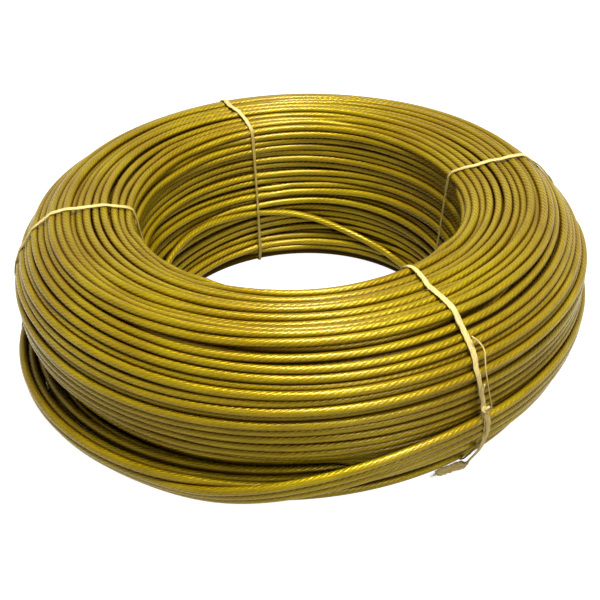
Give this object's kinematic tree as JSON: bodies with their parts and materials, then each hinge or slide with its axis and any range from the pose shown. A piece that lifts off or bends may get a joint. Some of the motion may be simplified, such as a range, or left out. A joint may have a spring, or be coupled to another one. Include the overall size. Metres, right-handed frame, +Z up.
{
  "type": "coil of plastic-coated wire rope",
  "caption": "Thick ring coil of plastic-coated wire rope with an open eye, held by twine ties.",
  "frame": {"origin": "on the eye's axis, at the floor that the ties lie on", "axes": "+Z up along the axis of the eye, +X to the right tie's side, -Y to the side that faces the camera"},
  "size_m": [0.2946, 0.29, 0.0899],
  "materials": {
    "rope_coat": "clear amber plastic coat over twisted steel strands, glossy",
    "twine": "flat fibrous twine, matt with a faint sheen"
  },
  "bodies": {
    "root": {"rope_coil": "rope_coat", "tie_left": "twine", "tie_back": "twine", "tie_right": "twine", "tie_front": "twine"}
  },
  "joints": []
}
